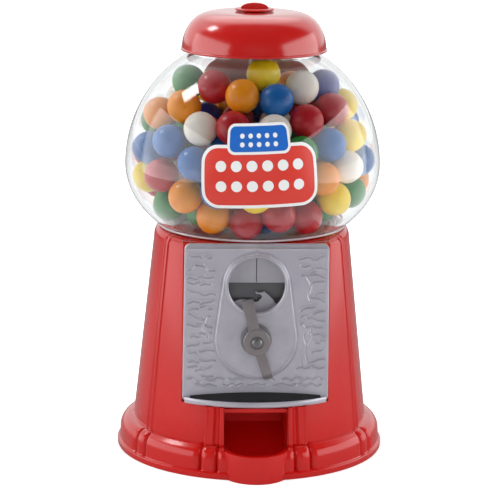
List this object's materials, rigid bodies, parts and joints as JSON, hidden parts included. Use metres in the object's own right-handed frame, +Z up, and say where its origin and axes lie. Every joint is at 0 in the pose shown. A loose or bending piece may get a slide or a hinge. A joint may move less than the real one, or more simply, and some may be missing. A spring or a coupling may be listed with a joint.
{
  "type": "gum vending machine",
  "caption": "Counter-top gumball machine: clear globe with lid on a round red pedestal, coin plate with turning handle and window, payout cup in front.",
  "frame": {"origin": "on the tie rod's axis, in the plane that the pedestal stands on", "axes": "+Z up along the tie rod, -Y towards the coin plate and the payout cup, +X to the right seen from the front"},
  "size_m": [0.1294, 0.1353, 0.216],
  "materials": {
    "red_plastic": "glossy moulded plastic",
    "zinc_plate": "satin die-cast zinc",
    "handle_zinc": "tumbled die-cast zinc",
    "housing_steel": "dark pressed steel",
    "plated_steel": "zinc-plated steel",
    "brass": "sintered brass",
    "white_nylon": "natural nylon",
    "black_plastic": "soft black plastic",
    "clear_plastic": "clear plastic",
    "candy": "glossy candy shell in mixed colours"
  },
  "bodies": {
    "cabinet": {"base_shell": "red_plastic", "base_floor": "red_plastic", "floor_screw_1": "plated_steel", "floor_screw_2": "plated_steel", "floor_screw_3": "plated_steel", "floor_screw_4": "plated_steel", "ball_chute": "red_plastic", "hopper_deck": "white_nylon", "ball_guard": "white_nylon", "center_rod": "plated_steel", "rod_nut": "plated_steel", "globe": "clear_plastic", "gumballs": "candy", "front_plate": "zinc_plate", "plate_screw_1": "plated_steel", "plate_screw_2": "plated_steel", "plate_screw_3": "plated_steel", "plate_screw_4": "plated_steel", "coin_guide": "zinc_plate", "mech_housing": "housing_steel", "housing_screw_1": "plated_steel", "housing_screw_2": "plated_steel", "housing_screw_3": "plated_steel", "housing_screw_4": "plated_steel", "handle_collar": "zinc_plate", "idler_pin": "plated_steel", "dog_pin": "plated_steel", "dog_spring": "plated_steel"},
    "turning_handle": {"handle": "handle_zinc", "handle_rivet": "plated_steel", "handle_shaft": "plated_steel", "coin_wheel": "zinc_plate", "ratchet_wheel": "plated_steel", "drive_pinion": "brass", "shaft_clip": "plated_steel"},
    "idler": {"idler_gear": "white_nylon"},
    "wheel": {"dispensing_wheel": "white_nylon"},
    "dog": {"coin_dog": "plated_steel"},
    "cap": {"lid": "red_plastic"},
    "knob": {"lid_knob": "red_plastic"},
    "plug": {"coin_plug": "black_plastic"}
  },
  "joints": [
    {"name": "handle_spin", "type": "hinge", "parent": "cabinet", "child": "turning_handle", "pos_m": [0, -0.0508, 0.0638], "axis": [0, 1, 0], "continuous": true},
    {"name": "idler_spin", "type": "hinge", "parent": "cabinet", "child": "idler", "pos_m": [0, -0.0342, 0.0791], "axis": [0, 1, 0], "continuous": true},
    {"name": "wheel_spin", "type": "hinge", "parent": "cabinet", "child": "wheel", "pos_m": [0, 0, 0.097], "axis": [0, 0, 1], "continuous": true},
    {"name": "dog_swing", "type": "hinge", "parent": "cabinet", "child": "dog", "pos_m": [-0.0169, -0.0391, 0.0642], "axis": [0, -1, 0], "range_deg": [0, 12], "stiffness_Nm_per_rad": 0.004, "springref_deg": -5.73, "deforming": ["dog_spring"]},
    {"name": "lid_lift", "type": "slide", "parent": "cabinet", "child": "cap", "axis": [0, 0, 1], "range_m": [0, 0.03]},
    {"name": "knob_spin", "type": "hinge", "parent": "cap", "child": "knob", "pos_m": [0, 0, 0.2123], "axis": [0, 0, 1], "continuous": true},
    {"name": "plug_pull", "type": "slide", "parent": "cabinet", "child": "plug", "axis": [0, 0, -1], "range_m": [0, 0.02]}
  ],
  "couplings": [
    {"joint": "idler_spin", "follows": "handle_spin", "ratio": -0.8},
    {"joint": "wheel_spin", "follows": "handle_spin", "ratio": -0.2}
  ]
}
